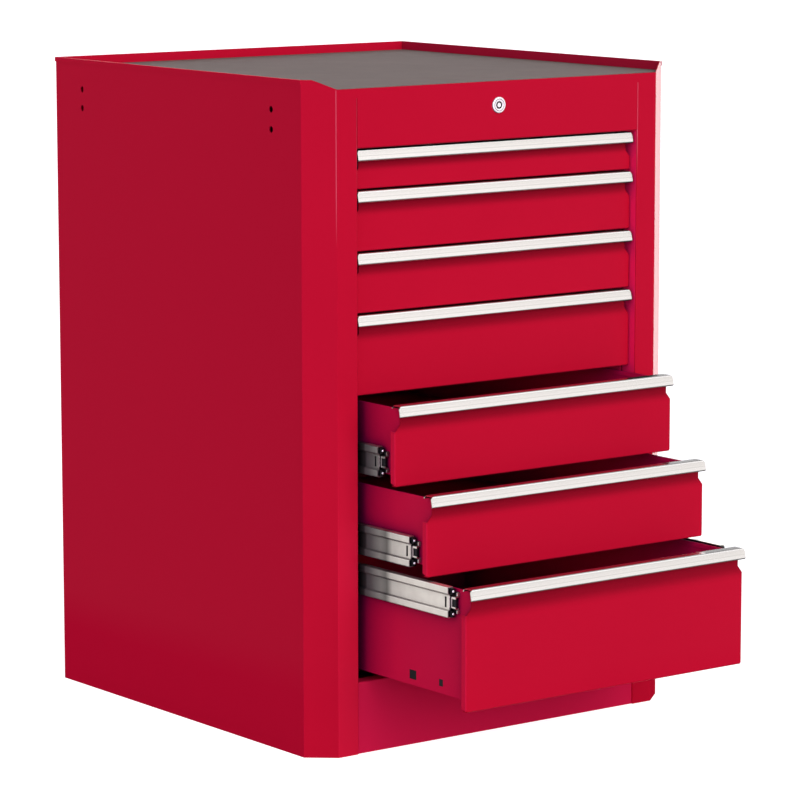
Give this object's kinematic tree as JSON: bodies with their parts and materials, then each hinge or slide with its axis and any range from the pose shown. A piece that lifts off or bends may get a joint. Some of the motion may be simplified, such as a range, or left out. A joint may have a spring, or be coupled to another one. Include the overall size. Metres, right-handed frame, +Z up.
{
  "type": "side tool cabinet",
  "caption": "Sheet-steel side tool cabinet with full-width drawers on ball-bearing slides, a top-rail lock and a matted tray top; bolts beside a roll cabinet.",
  "frame": {"origin": "on the floor, under the middle of the casing's footprint", "axes": "+Z up, +X to the right seen from the front, +Y to the back; drawers open along -Y"},
  "size_m": [0.5976, 0.8348, 0.87],
  "materials": {
    "red_enamel": "smooth gloss red powder coat",
    "grey_mat": "matt ribbed liner",
    "bright_pull": "brushed and bright",
    "zinc_steel": "bright zinc plate",
    "lock_chrome": "polished",
    "cage_plastic": "black moulded"
  },
  "bodies": {
    "cabinet": {"left_side_panel": "red_enamel", "right_side_panel": "red_enamel", "back_panel": "red_enamel", "top_deck": "red_enamel", "top_mat": "grey_mat", "front_rail": "red_enamel", "kick_plate": "red_enamel", "base_pan": "red_enamel", "slide_uprights": "red_enamel", "left_outer_rails": "zinc_steel", "right_outer_rails": "zinc_steel", "lock_housing": "lock_chrome", "lock_nut": "zinc_steel", "lock_rod_bracket": "zinc_steel", "lock_bar_guides": "zinc_steel"},
    "lock_plug": {"lock_plug": "lock_chrome", "lock_rod": "zinc_steel"},
    "lock_bar": {"lock_bar": "zinc_steel"},
    "runners_1": {"drawer_1_middle_rails": "zinc_steel", "drawer_1_ball_cages": "cage_plastic"},
    "drawer_1": {"drawer_1_box": "red_enamel", "drawer_1_front": "red_enamel", "drawer_1_pull": "bright_pull", "drawer_1_inner_rails": "zinc_steel"},
    "runners_2": {"drawer_2_middle_rails": "zinc_steel", "drawer_2_ball_cages": "cage_plastic"},
    "drawer_2": {"drawer_2_box": "red_enamel", "drawer_2_front": "red_enamel", "drawer_2_pull": "bright_pull", "drawer_2_inner_rails": "zinc_steel"},
    "runners_3": {"drawer_3_middle_rails": "zinc_steel", "drawer_3_ball_cages": "cage_plastic"},
    "drawer_3": {"drawer_3_box": "red_enamel", "drawer_3_front": "red_enamel", "drawer_3_pull": "bright_pull", "drawer_3_inner_rails": "zinc_steel"},
    "runners_4": {"drawer_4_middle_rails": "zinc_steel", "drawer_4_ball_cages": "cage_plastic"},
    "drawer_4": {"drawer_4_box": "red_enamel", "drawer_4_front": "red_enamel", "drawer_4_pull": "bright_pull", "drawer_4_inner_rails": "zinc_steel"},
    "runners_5": {"drawer_5_middle_rails": "zinc_steel", "drawer_5_ball_cages": "cage_plastic"},
    "drawer_5": {"drawer_5_box": "red_enamel", "drawer_5_front": "red_enamel", "drawer_5_pull": "bright_pull", "drawer_5_inner_rails": "zinc_steel"},
    "runners_6": {"drawer_6_middle_rails": "zinc_steel", "drawer_6_ball_cages": "cage_plastic"},
    "drawer_6": {"drawer_6_box": "red_enamel", "drawer_6_front": "red_enamel", "drawer_6_pull": "bright_pull", "drawer_6_inner_rails": "zinc_steel"},
    "runners_7": {"drawer_7_middle_rails": "zinc_steel", "drawer_7_ball_cages": "cage_plastic"},
    "drawer_7": {"drawer_7_box": "red_enamel", "drawer_7_front": "red_enamel", "drawer_7_pull": "bright_pull", "drawer_7_inner_rails": "zinc_steel"}
  },
  "joints": [
    {"name": "lock_turn", "type": "hinge", "parent": "cabinet", "child": "lock_plug", "pos_m": [-0.005, -0.303, 0.827], "axis": [0, 1, 0], "range_deg": [0, 90]},
    {"name": "lock_bar_lift", "type": "slide", "parent": "cabinet", "child": "lock_bar", "axis": [0, 0, 1], "range_m": [0, 0.014]},
    {"name": "middle_slide_1", "type": "slide", "parent": "cabinet", "child": "runners_1", "axis": [0, -1, 0], "range_m": [0, 0.275]},
    {"name": "drawer_slide_1", "type": "slide", "parent": "runners_1", "child": "drawer_1", "axis": [0, -1, 0], "range_m": [0, 0.275]},
    {"name": "middle_slide_2", "type": "slide", "parent": "cabinet", "child": "runners_2", "axis": [0, -1, 0], "range_m": [0, 0.275]},
    {"name": "drawer_slide_2", "type": "slide", "parent": "runners_2", "child": "drawer_2", "axis": [0, -1, 0], "range_m": [0, 0.275]},
    {"name": "middle_slide_3", "type": "slide", "parent": "cabinet", "child": "runners_3", "axis": [0, -1, 0], "range_m": [0, 0.275]},
    {"name": "drawer_slide_3", "type": "slide", "parent": "runners_3", "child": "drawer_3", "axis": [0, -1, 0], "range_m": [0, 0.275]},
    {"name": "middle_slide_4", "type": "slide", "parent": "cabinet", "child": "runners_4", "axis": [0, -1, 0], "range_m": [0, 0.275]},
    {"name": "drawer_slide_4", "type": "slide", "parent": "runners_4", "child": "drawer_4", "axis": [0, -1, 0], "range_m": [0, 0.275]},
    {"name": "middle_slide_5", "type": "slide", "parent": "cabinet", "child": "runners_5", "axis": [0, -1, 0], "range_m": [-0.087, 0.188]},
    {"name": "drawer_slide_5", "type": "slide", "parent": "runners_5", "child": "drawer_5", "axis": [0, -1, 0], "range_m": [0, 0.275]},
    {"name": "middle_slide_6", "type": "slide", "parent": "cabinet", "child": "runners_6", "axis": [0, -1, 0], "range_m": [-0.153, 0.122]},
    {"name": "drawer_slide_6", "type": "slide", "parent": "runners_6", "child": "drawer_6", "axis": [0, -1, 0], "range_m": [0, 0.275]},
    {"name": "middle_slide_7", "type": "slide", "parent": "cabinet", "child": "runners_7", "axis": [0, -1, 0], "range_m": [-0.2324, 0.0426]},
    {"name": "drawer_slide_7", "type": "slide", "parent": "runners_7", "child": "drawer_7", "axis": [0, -1, 0], "range_m": [0, 0.275]}
  ],
  "couplings": [
    {"joint": "lock_turn", "follows": "lock_bar_lift", "rad_per_m": 112.2}
  ]
}
